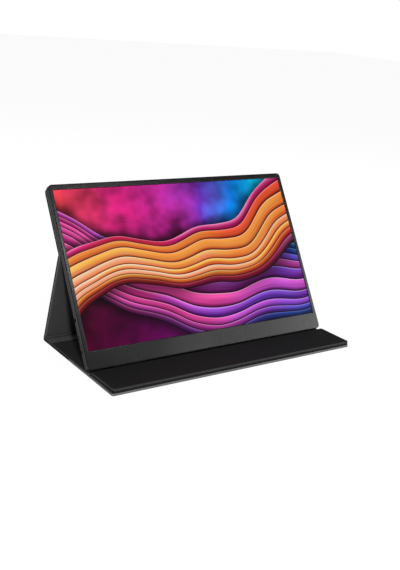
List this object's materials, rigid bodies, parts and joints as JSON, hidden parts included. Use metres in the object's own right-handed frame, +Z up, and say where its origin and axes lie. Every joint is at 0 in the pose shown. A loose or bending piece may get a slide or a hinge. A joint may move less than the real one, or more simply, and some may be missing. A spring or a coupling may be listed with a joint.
{
  "type": "portable monitor with folding cover stand",
  "caption": "Slim flat-panel portable monitor with a magnetic folding cover that holds it up as a tent-shaped stand, with its front section folded back as a stop.",
  "frame": {"origin": "middle of the box's footprint, at the table", "axes": "+X to the right seen from the front, along the screen's width; +Y to the back; +Z up"},
  "size_m": [0.3558, 0.1866, 0.1938],
  "materials": {
    "frame_plastic": "fine moulded matte black",
    "screen_glass": "satin polariser over glass, lit from behind",
    "film": "translucent film",
    "film_white": "matte white film",
    "acrylic": "clear acrylic",
    "led": "light strip",
    "steel": "plain plated",
    "circuit_board": "solder mask",
    "flex": "polyimide",
    "shell_plastic": "fine textured matte black",
    "chip_plastic": "epoxy",
    "socket_steel": "plated socket shell",
    "socket_plastic": "black nylon",
    "pad_rubber": "matte",
    "key_plastic": "satin black",
    "cover_leather": "grained black synthetic leather",
    "cover_lining": "short brushed microfibre, dark grey",
    "spine_lining": "ribbed woven strip, dark grey",
    "board_fibre": "fibre board"
  },
  "bodies": {
    "base": {"base_skin": "cover_leather", "base_board": "board_fibre", "base_lining": "cover_lining", "spine_board": "board_fibre", "spine_lining": "spine_lining"},
    "strut": {"strut_skin": "cover_leather", "strut_board": "board_fibre", "strut_lining": "cover_lining"},
    "rear_panel": {"rear_skin": "cover_leather", "rear_board": "board_fibre", "rear_lining": "cover_lining", "rear_magnets": "steel"},
    "monitor": {"front_frame": "frame_plastic", "lcd_cell": "screen_glass", "optical_films": "film", "light_guide": "acrylic", "reflector_sheet": "film_white", "led_strip": "led", "panel_tray": "steel", "panel_board": "circuit_board", "flex_tabs": "flex", "rear_shell": "shell_plastic", "main_board": "circuit_board", "board_chips": "chip_plastic", "shield_can": "steel", "usb_port_lower": "socket_steel", "usb_port_upper": "socket_steel", "video_port": "socket_steel", "headphone_jack": "socket_plastic", "key_board": "circuit_board", "tact_switches": "steel", "rocker_pin": "steel", "speaker_left": "chip_plastic", "speaker_right": "chip_plastic", "display_cable": "flex", "key_cable": "flex", "shell_magnets": "steel", "screws": "steel", "foot_pads": "pad_rubber"},
    "flap": {"flap_skin": "cover_leather", "flap_board": "board_fibre", "flap_lining": "cover_lining", "flap_magnets": "steel"},
    "lip": {"lip_skin": "cover_leather", "lip_board": "board_fibre", "lip_lining": "cover_lining", "lip_magnets": "steel"},
    "power_key": {"power_button": "key_plastic"},
    "rocker": {"menu_rocker": "key_plastic"}
  },
  "joints": [
    {"name": "rear_fold", "type": "hinge", "parent": "base", "child": "strut", "pos_m": [0, 0.07765, 0.0014], "axis": [-1, 0, 0], "range_deg": [0, 104.05]},
    {"name": "mid_fold", "type": "hinge", "parent": "strut", "child": "rear_panel", "pos_m": [0, 0.04819, 0.11906], "axis": [1, 0, 0], "range_deg": [0, 46.86]},
    {"name": "monitor_release", "type": "slide", "parent": "rear_panel", "child": "monitor", "axis": [0, -0.8406, 0.5417], "range_m": [0, 0.12]},
    {"name": "front_crease", "type": "hinge", "parent": "base", "child": "flap", "pos_m": [0, -0.03745, 0.0014], "axis": [-1, 0, 0], "range_deg": [0, 38]},
    {"name": "lip_fold", "type": "hinge", "parent": "flap", "child": "lip", "pos_m": [0, -0.09235, 0.00415], "axis": [1, 0, 0], "range_deg": [0, 179.4]},
    {"name": "power_press", "type": "slide", "parent": "monitor", "child": "power_key", "axis": [1, 0, 0], "range_m": [0, 0.0004], "stiffness_N_per_m": 300},
    {"name": "rocker_tilt", "type": "hinge", "parent": "monitor", "child": "rocker", "pos_m": [-0.1755, -0.01289, 0.03351], "axis": [0, -0.8406, 0.5417], "range_deg": [-4, 4], "stiffness_Nm_per_rad": 0.05}
  ],
  "couplings": [
    {"joint": "mid_fold", "follows": "rear_fold", "ratio": 0.45029}
  ]
}
